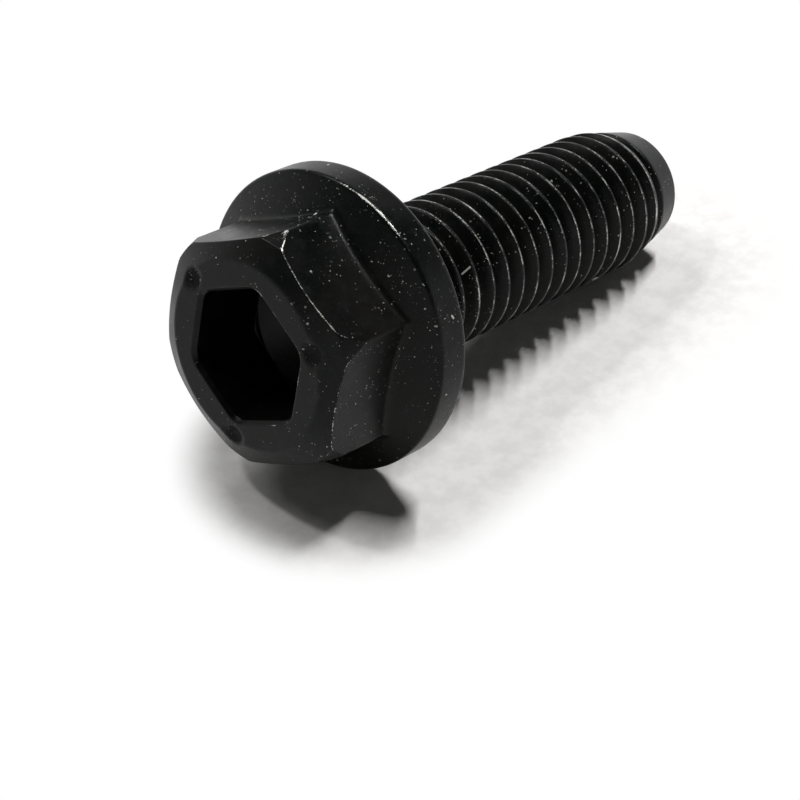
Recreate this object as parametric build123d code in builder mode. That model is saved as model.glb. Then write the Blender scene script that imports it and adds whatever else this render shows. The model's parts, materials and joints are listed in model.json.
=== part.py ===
"""M10 hexagon flange bolt with a hexagon socket in its head, lying as it comes to rest on a level surface.

The bolt is one forged and rolled piece. It is drawn standing, with the bearing face at height 0, the head
above it and the shank below, and is then laid on the rim of its flange and on its shank, head towards +X.
The origin is on the surface that it lies on, below the middle of the bolt.
"""

from math import atan, ceil, cos, degrees, pi, radians, sin, tan
import os

from build123d import *

# Thread (mm): M10 coarse, right-handed
NOMINAL_DIAMETER = 10.0
PITCH = 1.5
CREST_ALLOWANCE = 0.15  # how far the crests' diameter is under the nominal
FLANK_ANGLE = 30.0  # degrees on each side of the groove
DEPTH_IN_PITCHES = 0.6134  # ISO metric thread, from the nominal diameter to the root
ROOT_WIDTH_IN_PITCHES = 1 / 6
FACETS = 24  # straight steps in each turn
NECK_LENGTH = 1.8  # plain length between the bearing face and the thread
TURNS_PAST_END = 1.36  # where the helix starts, in pitches below the end of the shank
PLAIN_END_LENGTH = 2.0  # plain length at the end of the shank

# Shank, tapered over its last threads to a plain end
SHANK_LENGTH = 30.0
UNDERHEAD_BEVEL = 0.4
TAPER_LENGTH = 4.6
END_DIAMETER = 7.7
END_BEVEL = 0.35

# Flange
FLANGE_DIAMETER = 19.3
RIM_HEIGHT = 2.3
RIM_LOWER_BEVEL = 0.3
RIM_UPPER_BEVEL = 0.2
FLANGE_SLOPE = 25.0  # degrees from the bearing face

# Hexagon
HEAD_HEIGHT = 9.0  # bearing face to top
ACROSS_FLATS = 13.9
CORNER_ROUNDING = 0.3
TOP_DIAMETER = 12.0  # the flat ring on top
CHAMFER_ANGLE = 28.0  # degrees from the top
CORNER_CUT_DIAMETER = 15.1  # the chamfer's outer edge, where the corners fall away more steeply
CORNER_CUT_ANGLE = 18.0  # degrees from the bolt's axis

# Hexagon socket
KEY_SIZE = 8.0
KEY_CLEARANCE = 0.05  # on each flat
SOCKET_DEPTH = 5.2
SOCKET_CORNER_ROUNDING = 0.5
SOCKET_FLOOR_ANGLE = 30.0  # degrees that the conical floor falls towards its middle
MOUTH_BEVEL = 0.25

# Round dimples punched at every second corner of the top
DIMPLE_COUNT = 3
DIMPLE_CIRCLE_DIAMETER = 11.6
DIMPLE_DIAMETER = 1.5
DIMPLE_DEPTH = 0.4

# At rest, the angle about the axis from straight down to the lowest corner, in degrees
LOWEST_CORNER = -3.0

crest_radius = (NOMINAL_DIAMETER - CREST_ALLOWANCE) / 2
end_radius = END_DIAMETER / 2
flange_radius = FLANGE_DIAMETER / 2
taper_start = SHANK_LENGTH - TAPER_LENGTH
taper_slope = (crest_radius - end_radius) / TAPER_LENGTH
groove_start = SHANK_LENGTH + TURNS_PAST_END * PITCH
root_radius = NOMINAL_DIAMETER / 2 - DEPTH_IN_PITCHES * PITCH
root_half_width = ROOT_WIDTH_IN_PITCHES * PITCH / 2
mouth_half_width = root_half_width + (crest_radius - root_radius) * tan(radians(FLANK_ANGLE))
plain_neck = NECK_LENGTH - mouth_half_width
flange_top = RIM_HEIGHT + (flange_radius - crest_radius) * tan(radians(FLANGE_SLOPE))
cut_start = HEAD_HEIGHT - (CORNER_CUT_DIAMETER - TOP_DIAMETER) / 2 * tan(radians(CHAMFER_ANGLE))
cut_base_radius = CORNER_CUT_DIAMETER / 2 + cut_start * tan(radians(CORNER_CUT_ANGLE))
socket_floor = HEAD_HEIGHT - SOCKET_DEPTH
socket_apothem = KEY_SIZE / 2 + KEY_CLEARANCE
dimple_sphere_radius = ((DIMPLE_DIAMETER / 2) ** 2 + DIMPLE_DEPTH**2) / (2 * DIMPLE_DEPTH)

# Lying, the surface touches the rim above its lower bevel and the last full crest, where the taper starts.
lean = atan((flange_radius - crest_radius) / (taper_start + RIM_LOWER_BEVEL))
bearing_height = taper_start * sin(lean) + crest_radius * cos(lean)


def corner_at(sketch, x, y):
    """The corner of a sketch that is nearest to a point of its plane."""
    return sketch.vertices().sort_by_distance((x, y))[0]


def thread_corner(row, column):
    """A corner of the threaded bar's surface. Each groove has four rows of corners, and each row has one
    at every step and climbs one pitch in a turn."""
    step = row // 4 * FACETS + column
    middle = PITCH * step / FACETS - groove_start
    in_root = row % 4 in (1, 2)
    half_width = root_half_width if in_root else mouth_half_width
    height = middle + (half_width if row % 4 > 1 else -half_width)
    in_thread = PLAIN_END_LENGTH - SHANK_LENGTH < middle < -NECK_LENGTH
    full_radius = root_radius if in_root and in_thread else crest_radius
    radius = min(full_radius, end_radius + (height + SHANK_LENGTH) * taper_slope)
    angle = 2 * pi * step / FACETS
    return Vector(radius * cos(angle), radius * sin(angle), height)


def end_cap(row, seam):
    """Triangles from the axis to one end of the threaded bar's surface, whose rim is closed by a seam."""
    rim = [thread_corner(row, column) for column in range(FACETS + 1)] + seam
    centre = Vector(0, 0, seam[1].Z)
    return [(centre, *side) for side in zip(rim, rim[1:] + rim[:1])]


# The threaded bar, a little longer than the shank, with two triangles for each step of each row
last_row = 4 * ceil(groove_start / PITCH + 1)
triangles = []
for row in range(last_row):
    for column in range(FACETS):
        near, far = thread_corner(row, column), thread_corner(row + 1, column + 1)
        triangles.append((near, thread_corner(row, column + 1), far))
        triangles.append((near, far, thread_corner(row + 1, column)))
triangles += end_cap(0, [thread_corner(row, 0) for row in (3, 2, 1)])
triangles += end_cap(last_row, [thread_corner(last_row - row, FACETS) for row in (1, 2, 3)])
threaded_bar = Solid(Shell([Face(Wire.make_polygon(corners)) for corners in triangles]))

# The shank: the bar from the plain neck to its end, inside a cone of 45 degrees that bevels the end
bevelled_radius = end_radius - END_BEVEL
with BuildPart() as shank:
    with BuildSketch(Plane.XZ):
        Polygon(
            (0, -SHANK_LENGTH),
            (bevelled_radius, -SHANK_LENGTH),
            (flange_radius, flange_radius - bevelled_radius - SHANK_LENGTH),
            (flange_radius, -plain_neck),
            (0, -plain_neck),
            align=None,
        )
    revolve()
    add(threaded_bar, mode=Mode.INTERSECT)

with BuildPart() as flange_bolt:
    # Hexagon, from inside the flange up to the top
    with BuildSketch() as hexagon:
        RegularPolygon(ACROSS_FLATS / 2, 6, major_radius=False)
        fillet(hexagon.vertices(), CORNER_ROUNDING)
    extrude(amount=HEAD_HEIGHT)

    # Chamfered top around a flat ring, and the steeper cut on each corner
    with BuildSketch(Plane.XZ):
        Polygon(
            (0, 0),
            (cut_base_radius, 0),
            (CORNER_CUT_DIAMETER / 2, cut_start),
            (TOP_DIAMETER / 2, HEAD_HEIGHT),
            (0, HEAD_HEIGHT),
            align=None,
        )
    revolve(mode=Mode.INTERSECT)

    # Flange, with the shank's plain neck below it
    with BuildSketch(Plane.XZ) as flange:
        Polygon(
            (0, -plain_neck),
            (crest_radius, -plain_neck),
            (crest_radius, 0),
            (flange_radius, 0),
            (flange_radius, RIM_HEIGHT),
            (crest_radius, flange_top),
            (0, flange_top),
            align=None,
        )
        chamfer(corner_at(flange, crest_radius, 0), UNDERHEAD_BEVEL)
        chamfer(corner_at(flange, flange_radius, 0), RIM_LOWER_BEVEL)
        chamfer(corner_at(flange, flange_radius, RIM_HEIGHT), RIM_UPPER_BEVEL)
    revolve()
    add(shank.part)

    # Hexagon socket with a conical floor and a bevelled mouth
    with BuildSketch(Plane.XY.offset(socket_floor)) as socket:
        RegularPolygon(socket_apothem, 6, major_radius=False)
        fillet(socket.vertices(), SOCKET_CORNER_ROUNDING)
    extrude(amount=SOCKET_DEPTH, mode=Mode.SUBTRACT)
    chamfer(flange_bolt.faces().sort_by(Axis.Z)[-1].inner_wires()[0].edges(), MOUTH_BEVEL)
    with BuildSketch(Plane.XZ):
        Polygon(
            (0, socket_floor),
            (socket_apothem, socket_floor),
            (0, socket_floor - socket_apothem * tan(radians(SOCKET_FLOOR_ANGLE))),
            align=None,
        )
    revolve(mode=Mode.SUBTRACT)

    # Dimples
    with Locations((0, 0, HEAD_HEIGHT - DIMPLE_DEPTH + dimple_sphere_radius)):
        with PolarLocations(DIMPLE_CIRCLE_DIAMETER / 2, DIMPLE_COUNT):
            Sphere(dimple_sphere_radius, mode=Mode.SUBTRACT)

# Laid down, head towards +X, with the origin under its middle
lying = flange_bolt.part.rotate(Axis.Z, LOWEST_CORNER).rotate(Axis.Y, 90 - degrees(lean))
bearing_centre = Vector(-lying.bounding_box().center().X, 0, bearing_height)
lying = lying.translate(bearing_centre)
lying.label = "flange_bolt"

os.makedirs("parts", exist_ok=True)
export_step(lying, "parts/flange_bolt.step")
print("bearing face: centre", bearing_centre, "normal", Vector(-cos(lean), 0, -sin(lean)))
print("lean", degrees(lean), "degrees, bounds", lying.bounding_box())
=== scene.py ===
"""The finish of a black-oxide flange bolt, and the light, floor and camera that show it.

The bolt is one closed skin, worked out in its own axes and then laid where the frame's mounts say. Depth
runs along the bolt from its bearing face (0) towards its tip, so the head has negative depths. Sizes are
in millimetres until the points become a mesh.
"""
import json
from math import atan, cos, pi, radians, sin, tan

import bmesh
import bpy
import numpy as np
from mathutils import Matrix, Vector


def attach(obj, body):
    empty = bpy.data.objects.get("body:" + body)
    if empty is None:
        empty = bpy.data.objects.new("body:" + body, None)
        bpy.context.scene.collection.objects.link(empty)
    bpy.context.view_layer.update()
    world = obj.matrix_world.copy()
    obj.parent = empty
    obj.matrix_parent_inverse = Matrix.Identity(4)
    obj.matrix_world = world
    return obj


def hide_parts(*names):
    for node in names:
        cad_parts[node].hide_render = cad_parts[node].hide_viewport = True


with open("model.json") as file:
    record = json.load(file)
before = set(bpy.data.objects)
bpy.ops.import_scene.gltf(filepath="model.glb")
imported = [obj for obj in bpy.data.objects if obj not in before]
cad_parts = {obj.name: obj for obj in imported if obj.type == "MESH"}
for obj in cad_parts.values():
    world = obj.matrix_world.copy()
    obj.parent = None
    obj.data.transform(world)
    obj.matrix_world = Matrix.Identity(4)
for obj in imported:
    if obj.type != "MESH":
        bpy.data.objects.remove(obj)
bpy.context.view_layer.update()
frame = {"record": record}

MM = 0.001

# Thread
PITCH = 1.5
CREST_RADIUS = 4.925
ROOT_RADIUS = 4.08
ROOT_WIDTH = 0.25
FLANK_ANGLE = 30.0  # degrees on each side of a groove
CREST_ROUNDING = 0.2
ROOT_ROUNDING = 0.14
CREST_AT_BOTTOM = 1.29  # depth of a crest on the side that faces down
RUN_IN = 0.35  # turns over which the groove reaches its full depth
RUN_OUT = 0.1  # turns over which it ends
PLAIN_END_LENGTH = 2.0
SPREAD_GROOVE = 0.05  # shallower than this, the section's points spread out evenly

# Shank and tip
SHANK_LENGTH = 30.0
TAPER_START = 25.4
TIP_RADIUS = 3.85
TIP_ROUNDING = 0.45
UNDERHEAD_ROUNDING = 0.5
TAPER_SLOPE = (CREST_RADIUS - TIP_RADIUS) / (SHANK_LENGTH - TAPER_START)

# Travel along the shank's outline, which is depth until the taper is down to the roots' radius
DEPTH_TRAVEL = TAPER_START + (CREST_RADIUS - ROOT_RADIUS) / TAPER_SLOPE
EDGE_START = DEPTH_TRAVEL + 0.4
EDGE_END = EDGE_START + 1.1
EDGE_POINTS = 9  # round the tip's edge

# Flange
FLANGE_RADIUS = 9.65
RIM_HEIGHT = 2.3
RIM_LOWER_ROUNDING = 0.4
RIM_UPPER_ROUNDING = 0.3
FLANGE_SLOPE = 25.0  # degrees from the bearing face

# Hexagon and top
HEAD_HEIGHT = 9.0
FLAT_DISTANCE = 6.95  # axis to flat
CORNER_ROUNDING = 0.3
FOOT_ROUNDING = 0.7
TOP_RADIUS = 6.0
CHAMFER_ANGLE = 28.0  # degrees from the top
CORNER_CUT_RADIUS = 7.55
CORNER_CUT_ANGLE = 18.0  # degrees from the axis
EDGE_ROUNDING = 0.11
LOWEST_CORNER = -3.0  # degrees from straight down to the lowest corner

# Socket
SOCKET_FLAT_DISTANCE = 4.05
SOCKET_DEPTH = 5.2
SOCKET_CORNER_ROUNDING = 1.2
SOCKET_FLOOR_ANGLE = 30.0  # degrees that the conical floor falls
MOUTH_BEVEL = 0.25

# Dimples, at every second corner of the top
DIMPLE_COUNT = 3
DIMPLE_CIRCLE = 5.8  # radius
DIMPLE_RADIUS = 0.75
DIMPLE_DEPTH = 0.4

# Columns of the skin, as degrees from a corner of the hexagon to the middle of a flat
COLUMNS = (0, 0.36, 0.72, 1.08, 1.5, 2.2, 3.2, 4.4, 6, 8.2, 10.8, 13.8, 17, 20.2, 23.4, 26.7, 30)
SUPPORT = 0.1  # from the end of a straight stretch to the points that keep it flat

# Wear: how much is rubbed off each edge, and how wide the rubbed band is
MOST_WEAR = 1.3
NEAR_SURFACE = 0.05  # this close, a point counts as on a surface
CREST_WEAR, CREST_SIDE_WEAR = 1.0, 0.6  # on the thread, at the middle of a crest and beside it
WORN_GROOVE = 0.25  # the crests of a groove of this depth or more are worn in full
TOP_WEAR = (1.12, 0.9, 0.6)  # the first flat clockwise from the corner that faces up, the next, the others
TOP_WEAR_WIDTH = 0.12
TOP_WEAR_START, TOP_WEAR_FULL = 2.0, 6.0  # degrees from a corner
CORNER_WEAR = 0.5
CORNER_WEAR_WIDTH = 0.8  # degrees
CORNER_WEAR_END = -5.0  # depth
CUT_WEAR = 0.6
CUT_WEAR_OVERRUN = 0.1  # past the cut's lower edge
CUT_HALF_ANGLE = 15.0  # degrees about the axis on each side of a corner, which hold its cut
RIM_WEAR_MIDDLE = 14.0  # degrees clockwise from the corner that faces up
UPPER_RIM_WEAR = (0.4, 0.95, 20.0, 0.15)  # all round, more at the middle, the degrees it fades in, width
LOWER_RIM_WEAR = (0.8, 0.3, 30.0, 0.2)
MOUTH_WEAR = 0.85
MOUTH_WEAR_WIDTH = 0.08
MOUTH_WEAR_END = 150.0  # degrees clockwise from the corner that faces up

# Dust, 1 where it is thickest
TOP_DUST = 0.3
TOP_THICKNESS = 0.02  # depth from the top within which a point counts as on it
MOUTH_CLEAN = 0.6  # from the socket's flats outwards to where dust starts
FLAT_DUST = 0.45
FOOT_DUST = 0.55  # more at the foot of the hexagon
FOOT_DUST_WIDTH = 2.0
UNDERSIDE_SHARE = 0.3  # of that on the foot's lower side
SHANK_DUST = 0.35
NECK_DUST = 1.25  # more at the neck
NECK_DUST_START, NECK_DUST_END = 2.0, 10.0  # depths between which it fades
PIT_START = 0.05  # how far a dimple goes down before its floor is rough and dusty

# White lint on the bolt and on the table: both ends and the width, in the frame
FIBRES = (
    ((3.52, 3.66, 10.5), (3.13, 3.96, 10.97), 0.12),
    ((-10.85, 3.37, 1.97), (-10.89, 3.67, 2.27), 0.16),
    ((10.36, 8.71, 13.7), (10.3, 8.78, 13.55), 0.14),
)
TABLE_FIBRE = ((-8.82, 1.5, 0), (-9.82, 1.58, 0), 0.16)

# The table fades to plain white between two distances from a line along X under the bolt
LINE_START, LINE_END, LINE_Y = -17.0, 12.0, 2.0
FADE_START, FADE_END = 8.0, 12.0

# Sizes of the set (m)
LAMP_HEIGHT = 0.5
FLOOR_HALF = 1.6
BACKDROP_HEIGHT = 0.6
BACKDROP_SIDES = 64
BACKDROP_LIGHT = 0.15  # strength of the light that it gives, where what is seen has 1
ROOM_LIGHT = 0.03


# ---------------------------------------------------------------- shapes

def column_angles():
    """Angles about the axis, clockwise seen from the head, once round from the corner that faces up.

    They are close together at the six corners, where the hexagon turns, and the first repeats as the last.
    """
    half = np.radians(COLUMNS)
    sector = np.concatenate([half, radians(60) - half[-2::-1]])
    return np.concatenate([sector[:-1] + radians(60) * k for k in range(6)] + [[2 * pi]])


def from_corner(angle):
    """Angle from the nearest of the hexagon's corners, which are at 0 and every 60 degrees."""
    return np.abs((angle + radians(30)) % radians(60) - radians(30))


def hexagon_radius(angle, flat_distance, rounding):
    """Distance from the axis to a rounded hexagon with a corner at angle 0.

    Along a flat it is the flat's distance over the cosine of the angle from its middle. Around a corner it
    is the far crossing of a ray with the corner's circle.
    """
    off = from_corner(angle)
    centre = (flat_distance - rounding) / cos(radians(30))
    tangent = atan(rounding / 2 / (centre + rounding * cos(radians(30))))
    flat = flat_distance / np.cos(radians(30) - off)
    inside = np.maximum(rounding**2 - (centre * np.sin(off)) ** 2, 0)
    return np.where(off < tangent, centre * np.cos(off) + np.sqrt(inside), flat)


def head_radius(angle):
    """Distance from the axis to the outside of the hexagon."""
    return hexagon_radius(angle, FLAT_DISTANCE, CORNER_ROUNDING)


def socket_radius(angle):
    """Distance from the axis to the socket's wall."""
    return hexagon_radius(angle, SOCKET_FLAT_DISTANCE, SOCKET_CORNER_ROUNDING)


def top_edge(outside):
    """The chamfer's outer end, as radius and depth, and the depth at which the top meets the hexagon.

    The top falls by the chamfer's angle outside the flat ring, and more steeply outside the corner cut's
    radius.
    """
    shoulder = np.minimum(outside, CORNER_CUT_RADIUS)
    shoulder_depth = -HEAD_HEIGHT + (shoulder - TOP_RADIUS) * tan(radians(CHAMFER_ANGLE))
    return shoulder, shoulder_depth, shoulder_depth + (outside - shoulder) / tan(radians(CORNER_CUT_ANGLE))


def foot_depth(outside):
    """Depth at which the hexagon meets the sloping flange."""
    return -RIM_HEIGHT - (FLANGE_RADIUS - outside) * tan(radians(FLANGE_SLOPE))


def rounded(before, corner, after, radius, steps):
    """Points that round one corner of a profile, in every column at once.

    A quadratic curve runs from the tangent point before the corner to the one after it. The tangent length
    is the radius times the tangent of half the turn, and at most 0.45 of either side.
    """
    back, on = before - corner, after - corner
    back_length = np.maximum(np.hypot(*back), 1e-9)
    on_length = np.maximum(np.hypot(*on), 1e-9)
    back, on = back / back_length, on / on_length
    turn = -np.clip((back * on).sum(0), -1, 1)
    tangent = radius * np.sqrt(np.maximum(1 - turn, 0) / np.maximum(1 + turn, 1e-6))
    tangent = np.minimum(tangent, 0.45 * np.minimum(back_length, on_length))
    t = np.linspace(0, 1, steps)[:, None, None]
    start, end = corner + back * tangent, corner + on * tangent
    return (1 - t) ** 2 * start + 2 * t * (1 - t) * corner + t**2 * end


def straight(start, end, count):
    """Points along a straight stretch, without its ends: one close to each end, which keeps the stretch
    flat under smooth shading, and count more, evenly spaced."""
    length = np.maximum(np.hypot(*(end - start)), 1e-9)
    near = np.minimum(SUPPORT / length, 0.2)
    middle = [near + (1 - 2 * near) * k / (count + 1) for k in range(1, count + 1)]
    shares = np.stack([near, *middle, 1 - near])
    return start + (end - start) * shares[:, None, :]


def profile(corners):
    """Rows of points through a profile's corners, in every column at once.

    Each corner is a radius, a depth, a rounding, the points round it and the points on the stretch after.
    """
    width = max(np.size(value) for corner in corners for value in corner[:2])
    points = [np.stack([np.broadcast_to(r, width), np.broadcast_to(d, width)]) for r, d, *_ in corners]
    rows, last = [points[0][None]], points[0]
    for i in range(1, len(corners) - 1):
        rounding, steps = corners[i][2:4]
        arc = rounded(points[i - 1], points[i], points[i + 1], rounding, steps)
        rows += [straight(last, arc[0], corners[i - 1][4]), arc]
        last = arc[-1]
    rows += [straight(last, points[-1], corners[-2][4]), points[-1][None]]
    return np.concatenate(rows)


def head_profile(angle):
    """Radius and depth of the head's skin, from the middle of the socket's floor to the neck below the
    flange."""
    outside, inside = head_radius(angle), socket_radius(angle)
    top, floor = -HEAD_HEIGHT, SOCKET_DEPTH - HEAD_HEIGHT
    shoulder, shoulder_depth, edge_depth = top_edge(outside)
    cone = SOCKET_FLAT_DISTANCE * tan(radians(SOCKET_FLOOR_ANGLE))
    return profile([
        (0, floor + cone, 0, 1, 2),
        (SOCKET_FLAT_DISTANCE, floor, 0.1, 3, 0),
        (inside, floor, 0.25, 4, 4),
        (inside, top + MOUTH_BEVEL, 0.08, 3, 0),
        (inside + MOUTH_BEVEL, top, 0.1, 3, 7),
        (TOP_RADIUS, top, 0.5, 5, 9),
        (shoulder, shoulder_depth, EDGE_ROUNDING, 4, 2),
        (outside, edge_depth, EDGE_ROUNDING, 5, 8),
        (outside, foot_depth(outside), FOOT_ROUNDING, 7, 5),
        (FLANGE_RADIUS, -RIM_HEIGHT, RIM_UPPER_ROUNDING, 6, 2),
        (FLANGE_RADIUS, 0, RIM_LOWER_ROUNDING, 7, 3),
        (CREST_RADIUS, 0, UNDERHEAD_ROUNDING, 6, 0),
        (CREST_RADIUS, UNDERHEAD_ROUNDING, 0, 1, 0),
    ])


def punch_dimples(radius, depth, angle):
    """Lowers the top to a ball's lower side at each dimple, where that is below the top."""
    ball = (DIMPLE_RADIUS**2 + DIMPLE_DEPTH**2) / (2 * DIMPLE_DEPTH)
    x, y = radius * np.cos(angle), radius * np.sin(angle)
    for k in range(DIMPLE_COUNT):
        turn = pi + 2 * pi * k / DIMPLE_COUNT
        away = (x - DIMPLE_CIRCLE * cos(turn)) ** 2 + (y - DIMPLE_CIRCLE * sin(turn)) ** 2
        bottom = -HEAD_HEIGHT + DIMPLE_DEPTH - ball + np.sqrt(np.maximum(ball**2 - away, 0))
        punched = (away < DIMPLE_RADIUS**2) & (depth < -HEAD_HEIGHT / 2)
        depth = np.where(punched, np.maximum(depth, bottom), depth)
    return depth


def shank_outline(travel):
    """Radius and depth of the shank without its thread, for a travel along its outline.

    Travel is depth until the taper is down to the roots' radius. After that it runs round the tip's edge,
    an arc that it passes slowly, and then inwards across the flat end to the axis, where it stays.
    """
    lean = atan(TAPER_SLOPE)
    turn = np.linspace(lean, pi / 2, EDGE_POINTS)
    centre_radius = TIP_RADIUS - TIP_ROUNDING * tan((pi / 2 - lean) / 2)
    centre_depth = SHANK_LENGTH - TIP_ROUNDING
    edge = np.linspace(EDGE_START, EDGE_END, EDGE_POINTS)
    knots = [0, TAPER_START, DEPTH_TRAVEL, *edge, EDGE_END + centre_radius]
    radii = [CREST_RADIUS, CREST_RADIUS, ROOT_RADIUS, *(centre_radius + TIP_ROUNDING * np.cos(turn)), 0]
    depths = [0, TAPER_START, DEPTH_TRAVEL, *(centre_depth + TIP_ROUNDING * np.sin(turn)), SHANK_LENGTH]
    return np.interp(travel, knots, radii), np.interp(travel, knots, depths)


def smooth_step(x):
    """0 below 0, 1 above 1, and an S-shaped rise between them."""
    x = np.clip(x, 0, 1)
    return x * x * (3 - 2 * x)


def bell(x):
    """1 at 0, falling off on both sides: e to the power of minus x squared."""
    return np.exp(-(x**2))


def groove_section(groove):
    """Distance along the shank and drop of the groove's section, from the middle of one crest to the next.

    The groove is a flat root between two straight flanks, with its four corners rounded. The section has
    as many points where there is no groove, and there they are spread evenly.
    """
    half_root = ROOT_WIDTH / 2
    half_mouth = half_root + groove * tan(radians(FLANK_ANGLE))
    middle = PITCH / 2
    corners = [(0, 0), (middle - half_mouth, 0), (middle - half_root, 1), (middle + half_root, 1),
               (middle + half_mouth, 0), (PITCH, 0)]
    points = [np.stack(np.broadcast_arrays(along, drop * groove)) for along, drop in corners]
    roundings = (CREST_ROUNDING, ROOT_ROUNDING, ROOT_ROUNDING, CREST_ROUNDING)
    arcs = [rounded(*points[i:i + 3], rounding, 3) for i, rounding in enumerate(roundings)]
    flanks = [(arcs[i][-1:] + arcs[i + 1][:1]) / 2 for i in (0, 2)]
    root = (points[2] + points[3])[None] / 2
    section = [points[0][None], arcs[0], flanks[0], arcs[1], root, arcs[2], flanks[1], arcs[3]]
    section = np.concatenate(section)
    even = np.arange(len(section))[:, None] * PITCH / len(section)
    cut = np.minimum(groove / SPREAD_GROOVE, 1)
    return section[:, 0] * cut + even * (1 - cut), section[:, 1]


def thread_rows(angle):
    """Rows of radius, depth and wear for the threaded shank: the groove's section carried along a helix.

    Each row follows the helix, so it ends a pitch below where it started, on the row of the next turn. The
    groove's depth is what the shank's outline leaves above the root, eased in from nothing at the neck and
    out again before the plain end. The middle of each crest is the most worn.
    """
    columns = len(angle) - 1
    start = (CREST_AT_BOTTOM - PITCH * radians(LOWEST_CORNER + 180) / (2 * pi)) % PITCH
    turns = int(np.ceil((EDGE_END + TIP_RADIUS - start) / PITCH))
    phase = np.concatenate([angle[:-1] + 2 * pi * t for t in range(turns + 1)] + [[2 * pi * (turns + 1)]])
    travel = start + PITCH * phase / (2 * pi)
    middle = travel + PITCH / 2
    groove = np.maximum(shank_outline(middle)[0] - ROOT_RADIUS, 0)
    groove = groove * smooth_step(phase / (2 * pi * RUN_IN))
    groove = groove * smooth_step((SHANK_LENGTH - PLAIN_END_LENGTH - middle) / (PITCH * RUN_OUT))
    along, drop = groove_section(groove)
    radius, depth = shank_outline(travel + along)
    crest = np.zeros((len(along), 1))
    crest[[0, 1, -1], 0] = (CREST_WEAR, CREST_SIDE_WEAR, CREST_SIDE_WEAR)
    wear = crest * smooth_step(groove / WORN_GROOVE)

    def rows(values):
        by_turn = [values[:, t * columns:(t + 1) * columns + 1] for t in range(turns)]
        return np.concatenate([*by_turn, values[:1, turns * columns:]])

    return rows(radius - drop), rows(depth), rows(wear), len(along)


# ---------------------------------------------------------------- wear and dust on the skin

def head_wear(head, angle):
    """How much each point of the head is rubbed, from 0 up to the most wear.

    Wear falls off as a bell curve with the distance from an edge. It is on the top's outline along the
    flats, on the upper ends of the hexagon's corners, all over the cut on the corner that faces up, on both
    edges of the flange's rim, most at its upper side, and on the upper right of the socket's mouth.
    """
    radius, depth = head[:, 0], head[:, 1]
    outside = head_radius(angle)
    edge = top_edge(outside)[2]
    off = np.degrees(from_corner(angle))

    def near(r, d, width):
        return bell(np.hypot(radius - r, depth - d) / width)

    first, second, others = TOP_WEAR
    from_start = (off - TOP_WEAR_START) / (TOP_WEAR_FULL - TOP_WEAR_START)
    by_flat = np.where(angle < radians(60), first, np.where(angle < radians(120), second, others))
    wear = by_flat * near(outside, edge, TOP_WEAR_WIDTH) * smooth_step(from_start)
    on_hexagon = (np.abs(radius - outside) < NEAR_SURFACE) & (depth < CORNER_WEAR_END)
    wear = wear + CORNER_WEAR * bell(off / CORNER_WEAR_WIDTH) * on_hexagon
    on_cut = (radius > CORNER_CUT_RADIUS - NEAR_SURFACE) & (depth < edge + CUT_WEAR_OVERRUN)
    wear = wear + CUT_WEAR * on_cut * (np.minimum(angle, 2 * pi - angle) < radians(CUT_HALF_ANGLE))
    from_middle = (np.degrees(angle) - RIM_WEAR_MIDDLE + 180) % 360 - 180
    for at, (all_round, more, spread, width) in ((-RIM_HEIGHT, UPPER_RIM_WEAR), (0, LOWER_RIM_WEAR)):
        strength = all_round + more * bell(from_middle / spread)
        wear = wear + strength * near(FLANGE_RADIUS, at, width)
    mouth = near(socket_radius(angle) + MOUTH_BEVEL, -HEAD_HEIGHT, MOUTH_WEAR_WIDTH)
    wear = wear + MOUTH_WEAR * mouth * (angle < radians(MOUTH_WEAR_END))
    return np.clip(wear, 0, MOST_WEAR)


def head_dust(head, angle):
    """How much dust has settled on each point of the head: most along the upper foot of the hexagon, less
    on its flats and on the top, and none in the socket."""
    radius, depth = head[:, 0], head[:, 1]
    from_foot = depth - foot_depth(head_radius(angle))
    upper = 0.5 + 0.5 * np.cos(angle)
    side = UNDERSIDE_SHARE + (1 - UNDERSIDE_SHARE) * upper
    settled = FLAT_DUST + FOOT_DUST * bell(from_foot / FOOT_DUST_WIDTH) * side
    on_top = depth < -HEAD_HEIGHT + TOP_THICKNESS
    return np.where(on_top, TOP_DUST, settled) * (radius > SOCKET_FLAT_DISTANCE + MOUTH_CLEAN)


def shank_dust(depth):
    """How much dust has settled on the shank: most in the first threads below the flange."""
    at_neck = smooth_step((NECK_DUST_END - depth) / (NECK_DUST_END - NECK_DUST_START))
    return SHANK_DUST + NECK_DUST * at_neck


# ---------------------------------------------------------------- the skin as a mesh

def mount(name):
    """Place (mm) and axis of one of the record's mounts."""
    found = next(m for m in frame["record"]["mounts"] if m["name"] == name)
    return np.array(found["pos_m"]) / MM, np.array(found["axis"])


def in_frame(radius, depth, angle):
    """Points in the frame, from radius, depth and the clockwise angle from the corner that faces up."""
    mouth, out = mount("key_socket")
    out = out / np.linalg.norm(out)
    side = np.array([0, 1.0, 0])
    down = np.cross(side, out)
    turn = (radians(LOWEST_CORNER + 180) - angle)[..., None]
    height = (-depth - HEAD_HEIGHT)[..., None]
    return mouth + height * out + radius[..., None] * (np.cos(turn) * down + np.sin(turn) * side)


def grid_faces(rows, columns, first):
    """Quads between the rows and columns of a grid whose points are numbered from first, row by row."""
    i, j = np.meshgrid(np.arange(rows - 1), np.arange(columns - 1), indexing="ij")
    a = first + i * columns + j
    return np.stack([a, a + 1, a + columns + 1, a + columns], -1).reshape(-1, 4)


def closed(mesh):
    """Joins the points that coincide at seams and poles, and shades the mesh smoothly."""
    work = bmesh.new()
    work.from_mesh(mesh)
    bmesh.ops.remove_doubles(work, verts=work.verts, dist=1e-7)
    work.to_mesh(mesh)
    work.free()
    mesh.shade_smooth()
    return mesh


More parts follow.
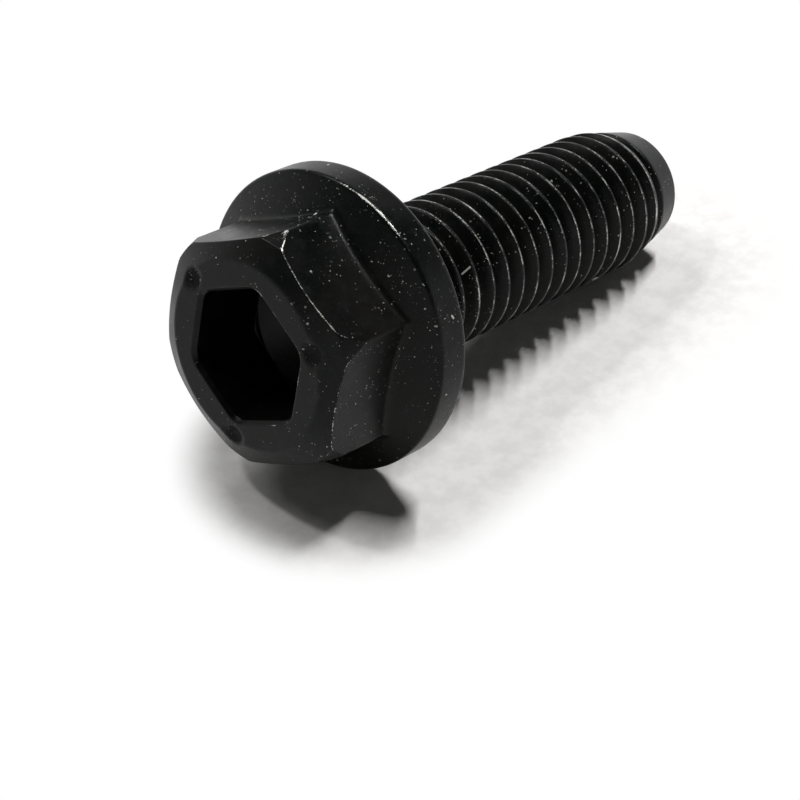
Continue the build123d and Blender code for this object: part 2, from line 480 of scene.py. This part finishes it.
def bolt_skin():
    """The whole bolt as one closed mesh: the head's rings, the thread's helical rows, and what joins them.

    The rows of the thread start on the plain neck, one pitch apart at the seam. Each column of the neck is
    a quad from the last ring to the first row, and the seam's column is one face with the section's points.
    """
    angle = column_angles()
    columns = len(angle)
    head = head_profile(angle)
    head_depth = punch_dimples(head[:, 0], head[:, 1], angle)
    radius, depth, crest_wear, section = thread_rows(angle)
    points = np.concatenate([
        in_frame(head[:, 0], head_depth, np.broadcast_to(angle, head_depth.shape)).reshape(-1, 3),
        in_frame(radius, depth, np.broadcast_to(angle, depth.shape)).reshape(-1, 3),
    ])
    first = head_depth.size
    faces = grid_faces(*head_depth.shape, 0).tolist() + grid_faces(*depth.shape, first).tolist()
    ring = first - columns
    faces += [[ring + j, ring + j + 1, first + j + 1, first + j] for j in range(columns - 2)]
    seam = [first + k * columns for k in range(section + 1)]
    faces.append([ring + columns - 2, ring + columns - 1, *seam, first + columns - 2])
    mesh = bpy.data.meshes.new("bolt")
    mesh.from_pydata(points * MM, [], faces)
    pits = smooth_step((head_depth - head[:, 1]) / PIT_START)
    layers = {
        "wear": (head_wear(head, angle), crest_wear),
        "pit": (pits, np.zeros_like(depth)),
        "dust": (np.maximum(head_dust(head, angle), pits), shank_dust(depth)),
    }
    for name, values in layers.items():
        layer = mesh.attributes.new(name, "FLOAT", "POINT")
        layer.data.foreach_set("value", np.concatenate([part.ravel() for part in values]))
    return closed(mesh)


# ---------------------------------------------------------------- materials

def colour(code):
    """A linear colour from an sRGB hex code."""
    parts = np.array([int(code[i:i + 2], 16) for i in (1, 3, 5)]) / 255
    linear = np.where(parts <= 0.04045, parts / 12.92, ((parts + 0.055) / 1.055) ** 2.4)
    return (*linear, 1.0)


def add(nodes, kind, links=None, **settings):
    """Adds a node of a kind, sets its attributes and inputs, and links its inputs to other nodes' outputs.

    An input is set by its name, or as in0, in1 and so on by its number.
    """
    node = nodes.new(kind)
    for name, value in settings.items():
        if hasattr(node, name):
            setattr(node, name, value)
        else:
            node.inputs[int(name[2:]) if name.startswith("in") else name].default_value = value
    for name, output in (links or {}).items():
        nodes.id_data.links.new(output, node.inputs[name])
    return node


def new_material(name):
    """An empty node material, its nodes and its output."""
    material = bpy.data.materials.new(name)
    material.use_nodes = True
    nodes = material.node_tree.nodes
    nodes.clear()
    return material, nodes, nodes.new("ShaderNodeOutputMaterial")


def mixed(nodes, factor, first, second):
    """The colour output of a mix of two colours, each a hex code or another node's output."""
    links, settings = {0: factor}, {}
    for i, value in ((6, first), (7, second)):
        if isinstance(value, str):
            settings[f"in{i}"] = colour(value)
        else:
            links[i] = value
    return add(nodes, "ShaderNodeMix", links, data_type="RGBA", **settings).outputs[2]


def noise(nodes, place, size, **settings):
    """The value of a noise whose patches are about a size (mm) across."""
    scale = 1 / (size * MM)
    return add(nodes, "ShaderNodeTexNoise", {"Vector": place}, Scale=scale, **settings).outputs["Fac"]


def between(nodes, value, low, high):
    """A smooth rise from 0 at low to 1 at high."""
    return add(nodes, "ShaderNodeMapRange", {"Value": value}, interpolation_type="SMOOTHSTEP",
               in1=low, in2=high).outputs[0]


def calculated(nodes, operation, *values):
    """The result of a math node on values, each a number or another node's output."""
    links, numbers = {}, {}
    for i, value in enumerate(values):
        if isinstance(value, (int, float)):
            numbers[f"in{i}"] = value
        else:
            links[i] = value
    return add(nodes, "ShaderNodeMath", links, operation=operation, **numbers).outputs[0]


def attribute(nodes, name):
    """The value of one of the skin's attributes."""
    return add(nodes, "ShaderNodeAttribute", attribute_name=name).outputs["Fac"]


def specks(nodes, place, cell, size, share):
    """Brightness of specks, one in a share of the cells (mm) of a random pattern, up to a size (mm) across.

    Most specks are faint and few are bright, and their outlines are ragged.
    """
    stray = add(nodes, "ShaderNodeTexNoise", {"Vector": place}, Scale=2 / (size * MM)).outputs["Color"]
    ragged = add(nodes, "ShaderNodeVectorMath", {0: stray, 2: place}, operation="MULTIPLY_ADD",
                 in1=(size * MM,) * 3)
    cells = add(nodes, "ShaderNodeTexVoronoi", {"Vector": ragged.outputs[0]}, Scale=1 / (cell * MM))
    picks = add(nodes, "ShaderNodeSeparateColor", {0: cells.outputs["Color"]}).outputs
    radius = calculated(nodes, "MULTIPLY", picks[1], size / 2 / cell)
    inside = calculated(nodes, "LESS_THAN", cells.outputs["Distance"], radius)
    chosen = calculated(nodes, "LESS_THAN", picks[0], share)
    bright = calculated(nodes, "POWER", picks[2], 2.0)
    return calculated(nodes, "MULTIPLY", calculated(nodes, "MULTIPLY", inside, chosen), bright)


def fibre(nodes, place, start, end, width):
    """1 within half a width (mm) of the straight line between two places of the frame (mm), and 0
    elsewhere."""
    run = (np.array(end) - start) * MM
    apart = add(nodes, "ShaderNodeVectorMath", {0: place}, operation="SUBTRACT",
                in1=[value * MM for value in start])
    along = add(nodes, "ShaderNodeVectorMath", {0: apart.outputs[0]}, operation="DOT_PRODUCT",
                in1=run / (run @ run))
    share = add(nodes, "ShaderNodeClamp", {0: along.outputs["Value"]})
    foot = add(nodes, "ShaderNodeVectorMath", {"Scale": share.outputs[0]}, operation="SCALE", in0=run)
    away = add(nodes, "ShaderNodeVectorMath", {0: apart.outputs[0], 1: foot.outputs[0]},
               operation="DISTANCE")
    return calculated(nodes, "LESS_THAN", away.outputs["Value"], width / 2 * MM)


def black_oxide_steel():
    """Forged and rolled steel with a hot black oxide: a thin near-black magnetite skin under a film of oil.

    It looks near-black with a dull satin sheen and a fine crystalline grain, in faint brown and green
    clouds. The crests and edges are rubbed through to bare steel in places, the dimples' floors are rough
    and dark, and pale dust and a few bits of lint stick to the oil.
    """
    material, nodes, output = new_material("black_oxide_steel")
    place = add(nodes, "ShaderNodeTexCoord").outputs["Object"]
    wear, pit, dust = (attribute(nodes, name) for name in ("wear", "pit", "dust"))

    # The oxide's crystals are far finer than this grain, which is drawn as coarse as it needs to show
    grain = noise(nodes, place, 0.14, Detail=3.0, Roughness=0.7)
    blotches = noise(nodes, place, 0.8, Detail=4.0, Roughness=0.7)
    cloud = noise(nodes, place, 4.0, Detail=3.0, Roughness=0.6)
    oxide = mixed(nodes, between(nodes, cloud, 0.4, 0.62), "#040706", "#0b0907")
    oxide = mixed(nodes, between(nodes, blotches, 0.5, 0.68), oxide, "#131614")
    oxide = mixed(nodes, between(nodes, grain, 0.4, 0.75), oxide, "#101211")
    oxide = mixed(nodes, calculated(nodes, "MULTIPLY", pit, 0.8), oxide, "#020202")

    # Bare steel, where the wear and two uneven patterns add up to enough
    fine, coarse = noise(nodes, place, 0.1, Detail=3.0), noise(nodes, place, 1.1, Detail=1.0)
    worn = calculated(nodes, "ADD", wear, calculated(nodes, "ADD", fine, coarse))
    bare = between(nodes, worn, 1.86, 2.16)
    skin = mixed(nodes, bare, oxide, "#c8c7c2")

    # Dust in drifts, as larger and smaller specks, and lint
    drift = between(nodes, noise(nodes, place, 2.2, Detail=2.0), 0.34, 0.62)
    share = calculated(nodes, "MULTIPLY", dust, drift)
    share = calculated(nodes, "MAXIMUM", share, calculated(nodes, "MULTIPLY", pit, 0.7))
    dirt = calculated(nodes, "MAXIMUM", specks(nodes, place, 0.42, 0.18, share),
                      specks(nodes, place, 0.16, 0.09, share))
    for start, end, width in FIBRES:
        dirt = calculated(nodes, "MAXIMUM", dirt, fibre(nodes, place, start, end, width))
    skin = mixed(nodes, dirt, skin, "#c4c3bd")

    # Gloss of the oiled oxide, duller where it is bare or dirty, and relief, deeper in the dimples
    sheen = add(nodes, "ShaderNodeMapRange", {"Value": cloud}, in1=0.3, in2=0.7, in3=0.25, in4=0.4)
    matt = calculated(nodes, "MAXIMUM", dirt, bare)
    rough = add(nodes, "ShaderNodeMix", {0: matt, 2: sheen.outputs[0]}, in3=0.5)
    relief = calculated(nodes, "MULTIPLY", grain, calculated(nodes, "MULTIPLY_ADD", pit, 7.0, 1.0))
    relief = calculated(nodes, "ADD", relief, blotches)
    bump = add(nodes, "ShaderNodeBump", {"Height": relief}, Strength=0.7, Distance=0.015 * MM)
    links = {"Base Color": skin, "Metallic": bare, "Roughness": rough.outputs[0],
             "Normal": bump.outputs["Normal"]}
    shader = add(nodes, "ShaderNodeBsdfPrincipled", links, **{"Specular IOR Level": 0.13})
    nodes.id_data.links.new(shader.outputs["BSDF"], output.inputs["Surface"])
    return material


def seen_or_reflected(nodes):
    """1 for what the camera sees, itself or in a reflection or through glass, and 0 for the light on
    things."""
    rays = add(nodes, "ShaderNodeLightPath").outputs
    seen = calculated(nodes, "ADD", rays["Is Camera Ray"], rays["Is Glossy Ray"])
    return add(nodes, "ShaderNodeMath", {0: seen, 1: rays["Is Transmission Ray"]}, operation="ADD",
               use_clamp=True).outputs[0]


def white_table():
    """A matt white table top with faint grey mottling, dark specks and a bit of lint, that goes over into
    plain white away from the bolt."""
    material, nodes, output = new_material("white_table")
    place = add(nodes, "ShaderNodeTexCoord").outputs["Object"]
    apart = add(nodes, "ShaderNodeSeparateXYZ", {0: place})
    beside = add(nodes, "ShaderNodeClamp", {0: apart.outputs["X"]}, in1=LINE_START * MM, in2=LINE_END * MM)
    nearest = add(nodes, "ShaderNodeCombineXYZ", {0: beside.outputs[0]}, in1=LINE_Y * MM)
    away = add(nodes, "ShaderNodeVectorMath", {0: place, 1: nearest.outputs[0]}, operation="DISTANCE")
    mottle = noise(nodes, place, 1.6, Detail=4.0, Roughness=0.65)
    skin = mixed(nodes, between(nodes, mottle, 0.35, 0.65), "#eeecea", "#f8f7f5")
    skin = mixed(nodes, specks(nodes, place, 2.4, 0.3, 0.3), skin, "#3c3a38")
    skin = mixed(nodes, fibre(nodes, place, *TABLE_FIBRE), skin, "#fdfdfd")
    paint = add(nodes, "ShaderNodeBsdfDiffuse", {"Color": skin})
    white = add(nodes, "ShaderNodeEmission", Color=colour("#ffffff"), Strength=1.0)
    faded = between(nodes, away.outputs["Value"], FADE_START * MM, FADE_END * MM)
    far = calculated(nodes, "MULTIPLY", faded, seen_or_reflected(nodes))
    mix = add(nodes, "ShaderNodeMixShader", {0: far, 1: paint.outputs[0], 2: white.outputs[0]})
    nodes.id_data.links.new(mix.outputs[0], output.inputs["Surface"])
    return material


def white_backdrop():
    """A white paper backdrop, plain white where it is seen or reflected, that gives little light."""
    material, nodes, output = new_material("white_backdrop")
    seen = seen_or_reflected(nodes)
    strength = add(nodes, "ShaderNodeMapRange", {0: seen}, in3=BACKDROP_LIGHT, in4=1.0)
    white = add(nodes, "ShaderNodeEmission", {"Strength": strength.outputs[0]}, Color=colour("#ffffff"))
    nodes.id_data.links.new(white.outputs[0], output.inputs["Surface"])
    return material


# ---------------------------------------------------------------- the scene

def add_object(name, data):
    """An object with that data, in the scene."""
    thing = bpy.data.objects.new(name, data)
    bpy.context.collection.objects.link(thing)
    return thing


def add_bolt():
    """The finished bolt, in place of its plain solid."""
    bolt = add_object("bolt", bolt_skin())
    bolt.data.materials.append(black_oxide_steel())
    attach(bolt, "root")
    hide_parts("flange_bolt")


def add_stage(name, points, faces, material):
    """A surface that isn't part of the bolt."""
    mesh = bpy.data.meshes.new(name)
    mesh.from_pydata(points, [], faces)
    mesh.materials.append(material)
    thing = add_object(name, mesh)


def add_floor():
    """A level floor, and a backdrop that stands round it on a circle and fills the low views."""
    corners = [(-FLOOR_HALF, -FLOOR_HALF, 0), (FLOOR_HALF, -FLOOR_HALF, 0), (FLOOR_HALF, FLOOR_HALF, 0),
               (-FLOOR_HALF, FLOOR_HALF, 0)]
    add_stage("floor", corners, [(0, 1, 2, 3)], white_table())
    turn = np.linspace(0, 2 * pi, BACKDROP_SIDES, endpoint=False)
    ring = FLOOR_HALF * np.stack([np.cos(turn), np.sin(turn), 0 * turn], 1)
    following = [(k + 1) % BACKDROP_SIDES for k in range(BACKDROP_SIDES)]
    faces = [(k, n, BACKDROP_SIDES + n, BACKDROP_SIDES + k) for k, n in enumerate(following)]
    add_stage("backdrop", np.concatenate([ring, ring + (0, 0, BACKDROP_HEIGHT)]), faces, white_backdrop())


def add_lamp(name, start, end, width, watts):
    """A soft lamp that hangs level and shines straight down, with its length from start to end."""
    start, end = Vector((*start, LAMP_HEIGHT)), Vector((*end, LAMP_HEIGHT))
    lamp = bpy.data.lights.new(name, "AREA")
    lamp.shape, lamp.energy, lamp.size, lamp.size_y = "RECTANGLE", watts, (end - start).length, width
    thing = add_object(name, lamp)
    thing.visible_camera = False
    along, up = (end - start).normalized(), Vector((0, 0, 1))
    turn = Matrix((along, up.cross(along), up)).transposed().to_4x4()
    thing.matrix_world = Matrix.Translation((start + end) / 2) @ turn


def add_camera(azimuth, elevation, distance, target):
    """A long lens that looks at a target from a distance (m), upright, as the views count their angles."""
    a, e = radians(azimuth), radians(elevation)
    back = Vector((sin(a) * cos(e), -cos(a) * cos(e), sin(e)))
    right = Vector((0, 0, 1)).cross(back).normalized()
    camera = bpy.data.cameras.new("camera")
    camera.lens, camera.clip_start = 96.6, 0.005
    thing = add_object("camera", camera)
    turn = Matrix((right, back.cross(right), back)).transposed().to_4x4()
    thing.matrix_world = Matrix.Translation(Vector(target) + back * distance) @ turn
    bpy.context.scene.camera = thing


def add_world():
    """A dim even room."""
    world = bpy.data.worlds.new("room")
    world.use_nodes = True
    background = world.node_tree.nodes["Background"]
    background.inputs["Color"].default_value = colour("#ffffff")
    background.inputs["Strength"].default_value = ROOM_LIGHT
    bpy.context.scene.world = world


add_camera(132.1, 39.8, 0.134, (0.0099, 0.0042, 0.0045))
add_bolt()
add_floor()
add_world()
add_lamp("tube", (-0.09, 0.10), (-0.31, -0.065), 0.02, 2.55)
add_lamp("side", (0.13, -0.25), (0.17, -0.25), 0.04, 0.55)
add_lamp("window", (-0.15, -0.37), (0.28, -0.42), 0.1, 1.25)
bpy.context.scene.view_settings.view_transform = "Standard"
